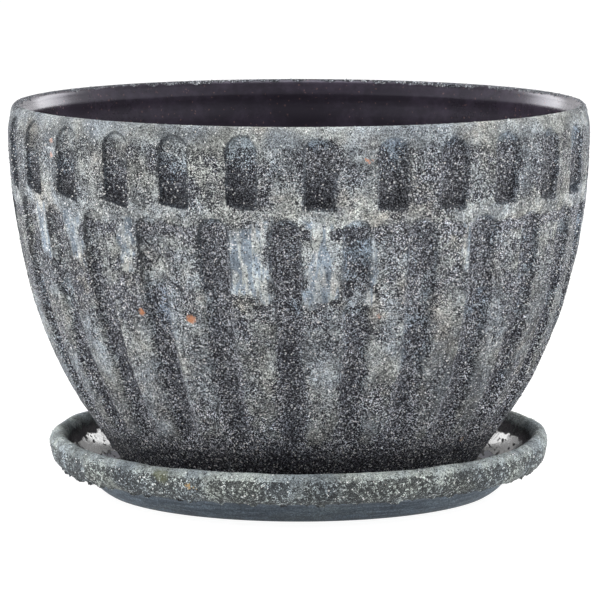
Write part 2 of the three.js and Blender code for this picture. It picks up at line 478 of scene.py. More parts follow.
def coatGroup():
    # the brushed coat: a film of slip that lies over dark grit and leaves it bare in places
    tree, given, result = newTree(
        "slip over grit",
        {
            "Vector": ["Vector"],
            "Float": ["Grain size", "Cover", "Brushed", "Shade", "Contrast", "Sparkle", "Pits"],
            "Color": ["Slip", "Cool slip", "Smear", "Grit", "Dark grit"],
        },
        {"Color": ["Colour"], "Float": ["Film", "Height"]},
    )
    place = given["Vector"]
    brushing = given["Brushed"]
    fine = useGroup(
        sandGrains,
        place,
        grainSize=given["Grain size"],
        paleShare=given["Sparkle"],
        darkShare=given["Pits"],
    )
    clouds = useGroup(slipClouds, place, cloudSize=26 * mm, edge=0.16)["Cloud"]
    elsewhere = stretched(place, (1, 1, 1), (3, 1, 2))
    broad = useGroup(slipClouds, elsewhere, cloudSize=15 * mm, edge=0.2)["Cloud"]
    patches = noise(place, 105.0, detail=6, roughness=0.68)
    drawn = noise(stretched(place, (1, 1, 0.2)), 190.0, detail=4, roughness=0.6)
    both = patches * 0.75 + drawn * 0.25
    both += (given["Cover"] - 0.5) * 0.42
    both += fine["Tone"] * 0.1
    film = most(ramp(both, 0.42, 0.56), brushing)
    feed(result["Film"], film)
    # brush marks run up and down the wall
    marks = noise(stretched(place, (1, 1, 0.07)), 330.0, detail=3, roughness=0.5)
    smeared = ramp(marks, 0.56, 0.44) * brushing
    marks = ramp(marks, 0.32, 0.68, 0.75, 1.3)
    marks = ramp(brushing, 0.0, 1.0, 1.0, marks)
    slip = blendColour(clouds, given["Slip"], given["Cool slip"])
    slip = blendColour(smeared * 0.8, slip, given["Smear"])
    uneven = marks * ramp(broad, 0, 1, 0.66, 1.36)
    slip = tinted(slip, greyOf(uneven))
    grit = blendColour(broad * 0.8, given["Grit"], given["Dark grit"])
    body = blendColour(film, grit, slip)
    contrast = ramp(film, 0, 1, 3.9, 1.25) * given["Contrast"]
    contrast *= 1.0 - brushing * 0.5
    tone = least(fine["Tone"], 0.55)
    clotted = noise(place, 250.0, detail=4, roughness=0.72) - 0.5
    clotted *= ramp(film, 0, 1, 1.9, 0.9)
    grain = maths("EXPONENT", tone * contrast + clotted)
    body = tinted(body, greyOf(given["Shade"] * grain))
    pits = fine["Dark"] * ramp(film, 0, 1, 0.95, 0.8)
    body = blendColour(pits, body, (0.012, 0.013, 0.016, 1))
    tanned = ramp(fine["Tone"], -0.75, -0.9)
    crystal = blendColour(tanned, (0.97, 0.97, 0.97, 1), (0.75, 0.6, 0.45, 1))
    shine = fine["Pale"] * ramp(film, 0, 1, 1.0, 0.85)
    body = blendColour(shine, body, crystal)
    feed(result["Colour"], body)
    rough = ramp(film, 0, 1, 1.0, 0.5)
    rough *= 1.0 - brushing * 0.5
    feed(result["Height"], film * 0.5 + fine["Height"] * rough)
    return tree


sandGrains = grainGroup()
slipClouds = mottleGroup()
slipOverGrit = coatGroup()
print("stage: three shader groups")


def newMaterial(name):
    material = bpy.data.materials.new(name)
    material.use_nodes = True
    tree = material.node_tree
    place = make(tree, "ShaderNodeTexCoord", output="Object")
    return material, tree.nodes["Principled BSDF"], place


def raiseSkin(shader, height, depth):
    inputs = {"Strength": 1.0, "Distance": depth, "Height": height}
    feed(shader.inputs["Normal"], make(height.tree, "ShaderNodeBump", inputs))


bowlSizes = {  # mm; heights from the bowl's own foot
    "footRadius": 87,
    "shoulderRadius": 148.9,
    "shoulderHeight": 174.7,
    "lipRadius": 147.4,
    "lipHeight": 186.9,
    "lipThickness": 9.6,
    "lipFlare": 2.4,  # the inside opens out this far towards the lip
    "lipFlareDepth": 18,
    "wall": 10,
    "innerCorner": 20,
    "footAngle": 60,
    "shoulderAngle": 88,
    "footPull": 0.197,
    "shoulderPull": 0.645,
    "footRing": 74,
    "footRecess": 4,
    "notchWidth": 12,
    "notchHeight": 3,
    "floorTop": 15,
    "drainRadius": 10,
    "skin": 0.45,  # the clay lies this far inside the outline, and its sand fills the rest
    "edge": 1.2,  # rounding of the foot and the drain
    "coatInside": 2.2,  # the gritty coat goes this far over the top of the lip
    "lump": 1.5,  # how uneven the wall is,
    "grit": 1.1,  # and how coarse its skin is
    "plainFoot": 8,  # no flute is carved below this height
    "trueFoot": 2.5,  # and below this one nothing is uneven
}

fluteSizes = {  # mm and degrees, as the tree takes them
    "count": 27,
    "width": 15.5,
    "depth": 3.8,
    "first": 3.8,
    "upperTop": 186.7,
    "upperLength": 34.8,
    "lowerTop": 146.7,
    "lowerEnd": 27,
    "lean": 1.35,
    "leanChange": 0.65,  # more to the right side, less to the left
    "rowTilt": 1.3,
    "wobble": 2.6,  # how far the edges of the flutes wander
    "tooth": 1.1,  # and how ragged they are
    "hand": 1.0,  # how far the hand strays from flute to flute, as a share of these:
    "slantStray": 0.008,
    "topStray": 0.9,
    "widthStray": (-0.05, 0.06),
    "depthStray": 0.12,
    "seed": 7,
    # degrees that single flutes stand out of step, from the first one on
    "upperStray": [0, 0.6, 0, -0.5, -0.4, -1.5, 0.3, -0.6, 0.5, 0.7, -0.2, -0.8, 0.4, 0.1]
    + [-0.5, 0.6, 0.2, -0.7, 0.3, 0.5, -0.3, 0.7, -0.3, -1.0, -0.8, -1.3, -1.3],
    "lowerStray": [0.5, 0.4, 0.7, 1.0, 1.2, -0.6, 0.2, 0.6, -0.4, 0.3, 0.8, -0.5, -0.2, 0.5]
    + [0.1, -0.7, 0.4, 0.6, -0.3, 0.2, 0.5, 1.0, 0.4, -0.6, -0.3, -0.5, 0.1],
    # how dark their floors are at the top, where slip may cover the grit; the material turns this into
    # bare grit and into painted shade in the hollow
    "upperDark": [0.3, 0.4, 0.5, 0.4, 0.35, 0.3, 0.2, 0.4, 0.3, 0.2, 0.3, 0.4, 0.2, 0.3]
    + [0.4, 0.2, 0.3, 0.4, 0.3, 0.2, 0.3, 0.1, 0.08, 0.08, 0.1, 0.15, 0.3],
    "lowerDark": [0.4, 0.4, 0.6, 0.5, 0.4, 0.3, 0.2, 0.4, 0.3, 0.1, 0.3, 0.5, 0.4, 0.2]
    + [0.1, 0.3, 0.5, 0.3, 0.2, 0.3, 0.1, 0.05, 0.05, 0.08, 0.12, 0.4, 0.45],
}


def bowlWall():
    s = bowlSizes
    foot = np.array([s["footRadius"], 0])
    shoulder = np.array([s["shoulderRadius"], s["shoulderHeight"]])
    body = bezier(
        [
            foot,
            foot + slope(s["footAngle"]) * s["footPull"] * s["shoulderHeight"],
            shoulder - slope(s["shoulderAngle"]) * s["shoulderPull"] * s["shoulderHeight"],
            shoulder,
        ],
        400,
    )
    rise = s["lipHeight"] - s["shoulderHeight"]
    top = bezier(
        [shoulder, shoulder + slope(s["shoulderAngle"]) * rise / 2, [s["lipRadius"], s["lipHeight"]]],
        40,
    )
    return np.vstack([body, top[1:]])


def outsideAt(height):
    # the outline's radius at a height, both in mm
    wall = bowlWall()
    return np.interp(height, wall[:, 1], wall[:, 0])


def fluteColumns(perHalf=12, gather=0.45):
    # columns crowd together where the flutes' edges are, in the middle of each half step
    s = fluteSizes
    half = math.pi / s["count"]
    t = (np.arange(perHalf) + 0.5) / perHalf * 2 - 1
    t = (1 - gather) * t + gather * t**3
    centres = (np.arange(2 * s["count"]) + 0.5) * half
    return (centres[:, None] + t[None, :] * half / 2).ravel() + s["first"] * degree


def bowlRings():
    s = bowlSizes
    f = fluteSizes
    wall = bowlWall()
    skin = s["skin"]
    edge = s["edge"]
    foot = s["footRadius"]
    ring = s["footRing"]
    recess = s["footRecess"]
    floor = s["floorTop"]
    inside = s["drainRadius"]
    rings = []

    def add(path, twist=0, coarse=True):
        rings.extend((r, h, twist, coarse) for r, h in path)

    def addWall(heights, coarse):
        # the lower row leans, and its columns with it
        fall = (f["lowerTop"] - heights) / (f["lowerTop"] - f["lowerEnd"])
        twists = f["lean"] * np.clip(fall, 0, 1)
        rings.extend((outsideAt(h) - skin, h, twist, coarse) for h, twist in zip(heights, twists))

    under = [
        (inside + edge, recess),
        (inside + 20, recess),
        (inside + 42, recess),
        (ring - edge, recess),
        (ring, recess - edge),
        (ring, recess / 2),
        (ring, edge),
        (ring + edge, 0),
        (ring + 4, 0),
        (foot - 4, 0),
        (foot - edge - skin, 0),
        (foot - 0.35 * edge - skin, 0.3 * edge),
    ]
    add(under, f["lean"])
    addWall(np.concatenate([np.arange(1.4, 20, 2.3), np.arange(20, 24, 1.6)]), True)
    spans = ((24, 44, 1.5), (44, 136, 2.55), (136, 186, 1.0))
    addWall(np.concatenate([np.arange(*span) for span in spans]), False)
    # over the lip
    half = s["lipThickness"] / 2
    across = half - s["lipFlare"] / 2
    for angle in np.linspace(0, 180, 13):
        r = s["lipRadius"] - across + (across - skin) * math.cos(angle * degree)
        h = s["lipHeight"] + (half - skin) * math.sin(angle * degree)
        rings.append((r, h, 0, angle > 120))
    # down the inside, which follows the outside
    corner = floor + s["innerCorner"]
    heights = np.concatenate([np.arange(s["lipHeight"] - 2, 168, -2), np.linspace(167, corner, 22)])
    along = np.gradient(wall, axis=0)
    along /= np.linalg.norm(along, axis=1)[:, None]
    innerWall = wall + np.stack([-along[:, 1], along[:, 0]], 1) * s["wall"]
    order = np.argsort(innerWall[:, 1])

    def insideAt(height):
        opening = np.clip(1 - (s["lipHeight"] - height) / s["lipFlareDepth"], 0, 1) ** 2
        return np.interp(height, innerWall[order, 1], innerWall[order, 0]) + s["lipFlare"] * opening

    add([(insideAt(h), h) for h in heights])
    lean = (insideAt(corner + 6) - insideAt(corner)) / 6
    bend = insideAt(corner) - lean * s["innerCorner"]
    add(bezier([(insideAt(corner), corner), (bend, floor), (bend - s["innerCorner"], floor)], 9)[1:])
    drain = [
        (50, floor),
        (30, floor),
        (18, floor - 0.2),
        (inside + edge, floor - 0.4),
        (inside + 0.3 * edge, floor - 0.7 * edge),
        (inside, floor - 2 * edge),
        (inside, recess + 2 * edge),
        (inside + 0.3 * edge, recess + 0.3 * edge),
    ]
    add(drain)
    return rings


def coatReach(rings):
    # distance along the outline from the line inside the lip where the coat ends, in mm
    places = np.array(rings)[:, :2]
    along = alongOf(places)
    top = int(np.argmax(places[:, 1]))
    return np.clip(along[top] + bowlSizes["coatInside"] - along, -farthest, farthest)


def carvingTree():
    s = bowlSizes
    f = fluteSizes
    rows = ["Upper top", "Upper length", "Lower top", "Lower length", "Row tilt", "Lean", "Lean change"]
    flutes = ["Flute width", "Flute depth", "First flute", "Hand"]
    foot = ["Foot height", "Foot ring", "Notch width", "Notch height"]
    kinds = {"Int": ["Flute count", "Seed"], "Float": rows + flutes + foot, "Material": ["Clay"]}
    tree, given, result = newTree("carved flutes", kinds)
    position = make(tree, "GeometryNodeInputPosition")
    x, y, z = axes(position)
    angle = maths("ARCTAN2", x, y * -1.0)
    radius = distance(x, y)
    height = z - given["Foot height"]
    step = 2 * math.pi / given["Flute count"]
    wobble = noise(position, 55.0, detail=3) - 0.5
    tooth = noise(position, 420.0, detail=2) - 0.5
    stray = wobble * (f["wobble"] * mm) + tooth * (f["tooth"] * mm)

    def chance(index, low, high, more):
        inputs = {2: low, 3: high, "ID": index, "Seed": given["Seed"] + more}
        drawn = make(tree, "FunctionNodeRandomValue", inputs, 1, data_type="FLOAT")
        return drawn * given["Hand"]

    def pick(index, values):
        node = addNode(tree, "GeometryNodeIndexSwitch", data_type="FLOAT")
        while len(node.index_switch_items) < len(values):
            node.index_switch_items.new()
        for socket, value in zip(node.inputs, [index, *values]):
            feed(socket, value)
        return Value(node.outputs[0])

    sideways = x / radius  # from -1 at the left to 1 at the right
    tilt = sideways * given["Row tilt"]

    def stroke(row, turn, lean, seed):
        # where a point lies in the row's nearest flute: across it, and down from its top
        ledge = row == "upper"
        length = given[row.capitalize() + " length"]
        down = given[row.capitalize() + " top"] - tilt - height
        share = maths("DIVIDE", down, length, clamp=True)
        middle = turn + share * lean
        cell = (angle - middle) / step
        nearest = maths("FLOOR", cell + 0.5)
        index = maths("FLOORED_MODULO", nearest, given["Flute count"])
        off = pick(index, f[row + "Stray"]) * degree * given["Hand"]
        off = (cell - nearest) * step - off
        across = off * radius
        across += down * chance(index, -f["slantStray"], f["slantStray"], seed + 1)
        across += stray
        down += chance(index, -f["topStray"] * mm, f["topStray"] * mm, seed + 2)
        down += tooth * (1.0 * mm)
        width = 1.0 + chance(index, *f["widthStray"], seed + 3)
        halfWidth = given["Flute width"] * 0.5 * width
        if ledge:
            past = least(down - halfWidth, 0.0)
        else:
            past = down - least(most(down, halfWidth), length - halfWidth)
        away = distance(across, past)
        within = (halfWidth - away) / halfWidth
        soft = share * (0.1 if ledge else 0.75)
        side = ramp(within, 0.0, 0.12 + soft, 0.0, 0.5)
        bed = 1.0 - maths("SUBTRACT", 1.0, within, clamp=True) ** 2.4
        section = most(side + bed * 0.5, 0.0)
        section *= within > 0.0
        section *= 1.0 + chance(index, -f["depthStray"], f["depthStray"], seed + 4)
        outline = halfWidth - away
        floor = pick(index, f[row + "Dark"])
        if ledge:
            rise = ramp(sideways, -0.9, 0.5, 0.26, 0.0)
            slant = across * rise + stray
            left = length + slant - down
            depth = 0.5 + share * 0.55
            stop = ramp(left, 0.0, 2.0 * mm)
            carved = section * depth * stop
            outline = least(outline, left + 0.5 * mm)
            floor += share ** 2.2 * 0.85
            return carved, outline, floor
        deepen = 0.62 + share * 2.2
        fade = 0.45 + (1.0 - share) * 3.6
        carved = section * least(1.0, least(deepen, fade))
        later = ramp(share, 0.15, 0.6)
        floor += later * (0.7 - floor)
        floor *= ramp(share, 1.0, 0.93)
        return carved, outline, floor, ramp(share, 0.12, 0.6, 0.0, 5 * mm)

    first = given["First flute"]
    lean = given["Lean"] + sideways * given["Lean change"]
    upper, upperOutline, upperFloor = stroke("upper", first, 0.0, 10)
    lower, lowerOutline, lowerFloor, lowerSoft = stroke("lower", first + step * 0.5, lean, 20)
    coat = ramp(namedValue(position, "reach"), 2.0, 5.0)
    above = height > s["plainFoot"] * mm
    carved = most(upper, lower) * coat * above
    # the material draws the edges of the flutes from these
    inLower = lowerOutline > upperOutline
    outline = most(upperOutline, lowerOutline)
    outline += (coat - 1.0) * (10 * mm)
    floor = upperFloor + (lowerFloor - upperFloor) * inLower
    soft = lowerSoft * inLower
    wall = given["Geometry"]
    for name, value in (("outline", outline), ("floor", floor), ("soft", soft)):
        wall = stored(wall, name, value)
    # hand-made unevenness over the whole wall, and a coarser skin where the coat is
    lump = noise(position, 38.0, detail=2) - 0.5
    skin = noise(position, 260.0, detail=3, roughness=0.7) - 0.5
    rough = skin * (s["grit"] * mm) * coat
    uneven = lump * (coat * (s["lump"] * mm))
    depth = carved * given["Flute depth"]
    outward = rough + uneven - (depth + coat * (s["skin"] * mm))
    wall = swollen(wall, outward * (height > s["trueFoot"] * mm))
    # ways out for water through the foot ring
    third = 2 * math.pi / 3
    fromNotch = maths("FLOORED_MODULO", angle, third) - third / 2
    beside = abs(fromNotch * radius)
    within = beside < given["Notch width"] * 0.5
    ring = radius > given["Foot ring"] - 0.5 * mm
    wanted = given["Notch height"] - height
    lift = most(wanted, 0.0) * within * ring
    dress(raised(wall, lift), given["Clay"], result)
    return tree


bowlLook = {
    "grainsPerArea": 125000.0,  # grains that stand out, for each square metre
    "sandFrom": 6 * mm,  # they start this far above the foot
    "grain": 0.37 * mm,
    "slip": (0.325, 0.338, 0.32, 1),
    "coolSlip": (0.265, 0.295, 0.32, 1),
    "warmSlip": (0.34, 0.33, 0.3, 1),
    "smear": (0.19, 0.24, 0.295, 1),
    "grit": (0.098, 0.102, 0.11, 1),
    "darkGrit": (0.037, 0.041, 0.049, 1),
    "floorSlip": (0.9, 1.0, 1.14, 1),  # tint of the slip that has run into the flutes
    "sparkle": 0.042,  # share of the grains that are bare and pale
    "pits": 0.11,  # and of those that have fallen out
    "fluteShade": 0.42,  # painted shade on the flutes' floors
    "edgeLine": 0.6,
    "footShade": 0.3,  # and painted shade on the foot
    "glaze": (0.017, 0.013, 0.02, 1),
    "glazeSpot": (0.07, 0.04, 0.04, 1),
    "ledgeAt": 156 * mm,  # slip gathers on the ledge between the rows
    "seamAt": 147.5 * mm,  # and is missing in places just below it
    "faintAt": 107 * mm,  # the lower flutes' dark floors are faint round this height
}

brushedPatches = [  # degrees, width in mm, top and bottom in mm: where the brush left a thicker coat
    (-10.5, 23, 151, 115),
    (4.2, 13, 152, 111),
    (12.5, 11, 150, 113),
    (-35, 9, 150, 126),
    (-49, 12, 153, 126),
    (-61, 12, 154, 129),
    (35, 10, 150, 124),
    (97, 15, 150, 118),
    (124, 12, 151, 122),
    (160, 20, 150, 116),
    (-100, 14, 150, 120),
    (-150, 18, 152, 114),
]

chips = [  # degrees from the front, height, width in mm, colour
    (-33.5, 106, 2.2, "rust"),
    (-22.2, 104, 3.0, "rust"),
    (13, 182, 1.5, "rose"),
    (13.7, 183.2, 1.2, "rose"),
    (12.4, 183, 1.1, "rust"),
    (-55, 186.5, 1.8, "rose"),
    (-55, 179.5, 1.6, "rose"),
    (26, 93, 2.0, "tan"),
    (-14.5, 75.5, 1.8, "rose"),
    (-43.5, 59, 1.8, "tan"),
    (51, 63.5, 1.8, "tan"),
    (50.5, 35, 1.8, "tan"),
    (16, 106, 1.6, "rose"),
    (-4.5, 102, 1.3, "rose"),
    (-40.4, 98.7, 1.8, "pore"),
    (-1.2, 90.7, 1.8, "pore"),
    (120, 95, 2.4, "rust"),
    (165, 150, 2.0, "tan"),
    (-130, 120, 2.4, "rust"),
    (-160, 70, 2.0, "rose"),
    (100, 60, 1.8, "pore"),
]

chipColours = {
    "rust": (0.62, 0.27, 0.13, 1),
    "rose": (0.6, 0.38, 0.31, 1),
    "tan": (0.55, 0.42, 0.28, 1),
    "pore": (0.006, 0.006, 0.007, 1),
    "olive": (0.14, 0.15, 0.08, 1),
    "ochre": (0.45, 0.3, 0.13, 1),
}


def chipped(place, body, marks, radiusAt):
    # places where something has broken out of the coat
    ragged = (noise(place, 900.0) - 0.5) * (3.5 * mm)
    for angle, height, width, kind in marks:
        radius = radiusAt(height) * mm
        at = (radius * math.sin(angle * degree), -radius * math.cos(angle * degree), height * mm)
        inputs = {0: place, 1: at}
        size = make(place.tree, "ShaderNodeVectorMath", inputs, "Value", operation="DISTANCE") + ragged
        spread = 1.2 if kind == "pore" else 2.0  # the wall may be carved where a chip lies
        edge = width * mm * spread / 2
        strength = 0.5 if kind == "olive" else 0.9
        mask = ramp(size, edge, edge * 0.5, 0.0, strength)
        body = blendColour(mask, body, chipColours[kind])
    return body


wallRadius = 145 * mm  # of the outside, between the two rows


def brushed(place, angle, z):
    # the patches' inside, and a painted shadow line under each one's lower edge
    wide = (noise(place, 75.0, detail=4, roughness=0.6) - 0.5) * (24 * mm)
    fine = (noise(place, 750.0, detail=2) - 0.5) * (3 * mm)
    ragged = wide + fine
    inside = None
    line = None
    for at, width, top, bottom in brushedPatches:
        across = abs((angle - at * degree) * wallRadius) - width * mm / 2
        up = z - (top + bottom) * mm / 2
        out = most(across, abs(up) - (top - bottom) * mm / 2) + ragged
        patch = ramp(out, 0.8 * mm, -2.6 * mm)
        rim = ramp(abs(out - 1.2 * mm), 1.8 * mm, 0.0) * ramp(up, 2 * mm, -12 * mm)
        inside = patch if inside is None else most(inside, patch)
        line = rim if line is None else most(line, rim)
    return inside, line


def bowlCoat(place):
    # the same coat lies on the wall and on its sand
    look = bowlLook
    x, y, z = axes(place)

    def level(low, high, toLow=0.0, toHigh=1.0):
        # a smooth step from one height in mm to another
        return ramp(z, low * mm, high * mm, toLow, toHigh)

    angle = maths("ARCTAN2", x, y * -1.0)
    # each flute's floor is darker, from bare grit and from painted shade in the hollow, and a thin painted
    # shadow line runs just inside its edge
    sideways = x / wallRadius
    shift = (noise(place, 420.0, detail=2) - 0.5) * (0.7 * mm)
    blur = (noise(place, 170.0, detail=4, roughness=0.65) - 0.5) * (5 * mm)
    blur *= ramp(sideways, -0.5, 0.3, 0.15, 1.0)
    outline = namedValue(place, "outline") + shift + blur
    soft = namedValue(place, "soft")
    fade = ramp(sideways, -0.45, 0.25, 0.0, 1.6 * mm)
    within = ramp(outline, -0.2 * mm - fade, 0.9 * mm + soft + fade)
    # painted shadow: a thin dark line just inside each flute's edge, stronger on the left
    edge = ramp(outline, -0.4 * mm, 0.2 * mm) * ramp(outline, 1.5 * mm, 0.7 * mm)
    edge *= ramp(soft, 2.5 * mm, 0.0, 0.0, look["edgeLine"])
    edge *= ramp(sideways, -0.4, 0.5, 1.0, 0.5)
    floor = namedValue(place, "floor")
    broken = ramp(noise(place, 48.0, detail=5, roughness=0.7), 0.4, 0.56, 0.45, 1.1)
    broken = level(150, 118, 1.0, broken)
    broken = level(92, 66, broken, 1.0)
    faint = ramp(abs(z - look["faintAt"]), 18 * mm, 5 * mm, 0.0, 0.55)
    broken *= 1.0 - faint
    broken *= ramp(sideways, -0.2, 0.6, 1.0, 0.76)
    dim = within * floor * broken
    inside, line = brushed(place, angle, z)
    inside *= ramp(dim, 0.35, 0.1)
    line *= ramp(dim, 0.5, 0.2)
    # slip gathers on the lip and on the ledge, and is worn off below
    cover = level(186, 193, 0.44, 0.9)
    wide = noise(place, 21.0, detail=3, roughness=0.6)
    cover += (wide - 0.5) * 1.4
    seam = ramp(abs(z - look["seamAt"]), 4 * mm, 1 * mm, 0.0, 0.6)
    cover -= seam * ramp(wide, 0.42, 0.55)
    ledge = ramp(abs(z - look["ledgeAt"]), 6.5 * mm, 2.5 * mm, 0, 0.24)
    cover += ledge + level(118, 36, 0.0, -0.36)
    cover -= level(44, 30, 0.0, 0.8)
    ridge = level(118, 80) * (1.0 - within)
    bare = within * broken * ramp(floor, 0.15, 0.8, 0.0, 0.7)
    cover = cover - bare + ridge * 0.3
    lip = ramp(namedValue(place, "reach"), 7.0, 4.0) * ramp(y, -60 * mm, 10 * mm)
    cover -= lip * 1.2
    # painted shade on the flutes' floors
    shade = ramp(dim, 0, 1, 1.0, look["fluteShade"])
    # painted shade on the foot, where the saucer's rim shades it
    shade *= level(26, 54, look["footShade"], 1.0)
    shade *= level(182, 193, 1.0, 0.84)
    # painted shade low on the wall, which faces down
    shade *= level(112, 56, 1.0, 0.74)
    middle = level(100, 128) * level(168, 150)
    shade *= 1.0 + middle * 0.18
    # painted light and shade: the coat is made paler in front and behind than at the sides, and darker low
    # on the right
    facing = ramp(abs(sideways - 0.05), 0.9, 0.1, 0.86, 1.2)
    facing = level(84, 120, 1.0, facing)
    right = ramp(sideways, 0.1, 0.6, 1.0, 0.62)
    right = level(150, 70, 1.0, right)
    shade *= facing * right
    # painted shadow under the brushed patches
    shade *= 1.0 - line * 0.6
    # painted shadow along the flutes' edges
    shade *= 1.0 - edge
    inside = most(inside, edge * 0.7)
    run = ramp(within * ramp(floor, 0.1, 0.35), 0, 1)
    tint = blendColour(run, (1, 1, 1, 1), look["floorSlip"])
    warm = ramp(noise(place, 34.0, detail=4, roughness=0.6), 0.5, 0.62)
    slip = blendColour(warm, look["slip"], look["warmSlip"])
    fewer = level(178, 194, 1.0, 0.3) * ramp(dim, 0.2, 0.9, 1.0, 0.55)
    return useGroup(
        slipOverGrit,
        place,
        grainSize=look["grain"],
        cover=cover,
        brushed=inside,
        shade=shade,
        contrast=level(128, 40, 1.0, 1.5) * ramp(sideways, 0.1, 0.6, 1.0, 1.15),
        sparkle=look["sparkle"] * fewer,
        pits=look["pits"] * level(186, 197, 1.0, 0.5),
        slip=tinted(slip, tint),
        coolSlip=tinted(look["coolSlip"], tint),
        smear=look["smear"],
        grit=look["grit"],
        darkGrit=look["darkGrit"],
    )


def bowlMaterial():
    look = bowlLook
    material, shader, place = newMaterial("gritty stoneware")
    coat = bowlCoat(place)
    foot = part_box("bowl")[0][2] / mm
    body = chipped(place, coat["Colour"], chips, lambda height: outsideAt(height - foot))
    # the glaze inside starts at a ragged line below the lip
    reach = namedValue(place, "reach")
    ragged = (noise(place, 180.0, detail=4) - 0.5) * 7.0
    sweep = (noise(place, 9.0, detail=2) - 0.5) * 10.0
    coated = ramp(reach + ragged + sweep, -0.4, 0.4)
    spots = useGroup(sandGrains, place, grainSize=0.5 * mm, paleShare=0.013, darkShare=0.0)
    glaze = blendColour(spots["Pale"], look["glaze"], look["glazeSpot"])
    cloudy = ramp(noise(place, 60.0, detail=5, roughness=0.7), 0.4, 0.7, 0.8, 1.9)
    glaze = tinted(glaze, greyOf(cloudy))
    feed(shader.inputs["Base Color"], blendColour(coated, glaze, body))
    feed(shader.inputs["Roughness"], ramp(coated, 0, 1, 0.27, 0.92))
    feed(shader.inputs["Specular Tint"], (0.86, 0.84, 1.0, 1))
    turning = noise(stretched(place, (1, 1, 9)), 60.0, detail=3) * 0.05
    raiseSkin(shader, coat["Height"] * coated + turning, 0.7 * mm)
    return material


def grainMesh():
    # one grain of sand: an uneven lump of eight faces, one unit across
    mesh = bpy.data.meshes.new("grain")
    around = [(0.5, 0.1, 0), (0, 0.42, 0.1), (-0.5, 0, -0.1), (0.05, -0.46, 0)]
    points = around + [(0.08, 0, 0.4), (0, 0.06, -0.4)]
    faces = [(0, 1, 4), (1, 2, 4), (2, 3, 4), (3, 0, 4), (1, 0, 5), (2, 1, 5), (3, 2, 5), (0, 3, 5)]
    mesh.from_pydata(points, [], faces)
    return mesh


def sandTree():
    tree, given, result = newTree(
        "sand on the coat",
        {
            "Object": ["Grain"],
            "Float": ["Grains per area", "Smallest", "Largest", "Lowest"],
            "Int": ["Seed"],
            "Material": ["Sand"],
        },
    )
    position = make(tree, "GeometryNodeInputPosition")
    coated = ramp(namedValue(position, "reach"), 0.0, 3.0)
    clear = axes(position)[2] > given["Lowest"]
    patchy = ramp(noise(position, 70.0, detail=3), 0.3, 0.7, 0.35, 1.3)
    density = given["Grains per area"] * patchy * (coated * clear)
    inputs = {"Mesh": given["Geometry"], "Density": density, "Seed": given["Seed"]}
    points = make(tree, "GeometryNodeDistributePointsOnFaces", inputs, distribute_method="RANDOM")

    def chance(more):
        inputs = {2: 0.0, 3: 1.0, "Seed": given["Seed"] + more}
        return make(tree, "FunctionNodeRandomValue", inputs, 1, data_type="FLOAT")

    points = stored(points, "tone", chance(1))
    grain = make(tree, "GeometryNodeObjectInfo", {"Object": given["Grain"]}, "Geometry")
    fullTurn = 6.28
    inputs = {0: (0, 0, 0), 1: (fullTurn,) * 3, "Seed": given["Seed"] + 2}
    angles = make(tree, "FunctionNodeRandomValue", inputs, data_type="FLOAT_VECTOR")
    turn = make(tree, "FunctionNodeEulerToRotation", {0: angles})
    span = given["Largest"] - given["Smallest"]
    size = given["Smallest"] + chance(3) ** 2.5 * span
    inputs = {"Points": points, "Instance": grain, "Rotation": turn, "Scale": size}
    dress(make(tree, "GeometryNodeInstanceOnPoints", inputs), given["Sand"], result)
    return tree


sandLook = {
    "smallest": 0.35 * mm,
    "largest": 1.1 * mm,
    "dark": (0.03, 0.03, 0.034, 1),
    "grey": (0.2, 0.215, 0.215, 1),
    "pale": (0.8, 0.79, 0.75, 1),
}


def sandMaterial(name, coatOf):
    look = sandLook
    material, shader, place = newMaterial(name)
    tone = namedValue(place, "tone")
    coat = coatOf(place)
    own = blendColour(ramp(tone, 0.25, 0.6), look["dark"], look["grey"])
    dusted = blendColour(ramp(coat["Film"], 0, 1, 0.45, 0.8), own, coat["Colour"])
    body = blendColour(ramp(tone, 0.95, 0.98), dusted, look["pale"])
    feed(shader.inputs["Base Color"], body)
    feed(shader.inputs["Roughness"], 0.75)
    raiseSkin(shader, noise(place, 2500.0, detail=2), 0.1 * mm)
    return material


grainObject = newObject("grain_shape", grainMesh())
sandTool = sandTree()


def sandOn(wall, name, coatOf, perArea, lowest, seed):
    piece = newObject(name + "_sand", wall.data.copy())
    values = {
        "Grain": grainObject,
        "Grains per area": perArea,
        "Smallest": sandLook["smallest"],
        "Largest": sandLook["largest"],
        "Lowest": lowest,
        "Seed": seed,
        "Sand": sandMaterial("sand of the " + name, coatOf),
    }
    grow(piece, sandTool, values)
    return piece


def makeBowl():
    s = bowlSizes
    f = fluteSizes
    look = bowlLook
    columns = fluteColumns()
    rings = bowlRings()
    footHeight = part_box("bowl")[0][2]
    mesh = turnedMesh("bowl", rings, columns)
    storeByRing(mesh, "reach", rings, columns, coatReach(rings))
    mesh.transform(Matrix.Translation((0, 0, footHeight)))
    bowl = newObject("carved_bowl", mesh)
    values = {
        "Flute count": f["count"],
        "Flute width": f["width"] * mm,
        "Flute depth": f["depth"] * mm,
        "First flute": f["first"] * degree,
        "Upper top": f["upperTop"] * mm,
        "Upper length": f["upperLength"] * mm,
        "Lower top": f["lowerTop"] * mm,
        "Lower length": (f["lowerTop"] - f["lowerEnd"]) * mm,
        "Lean": f["lean"] * degree,
        "Lean change": f["leanChange"] * degree,
        "Row tilt": f["rowTilt"] * mm,
        "Foot height": footHeight,
        "Hand": f["hand"],
        "Notch width": s["notchWidth"] * mm,
        "Notch height": s["notchHeight"] * mm,
        "Foot ring": s["footRing"] * mm,
        "Seed": f["seed"],
        "Clay": bowlMaterial(),
    }
    grow(bowl, carvingTree(), values)
    lowest = footHeight + look["sandFrom"]
    return bowl, sandOn(bowl, "bowl", bowlCoat, look["grainsPerArea"], lowest, 3)


bowl, bowlSand = makeBowl()
print("bowl:", len(bowl.data.polygons), "faces, sand:", len(bowlSand.data.polygons))


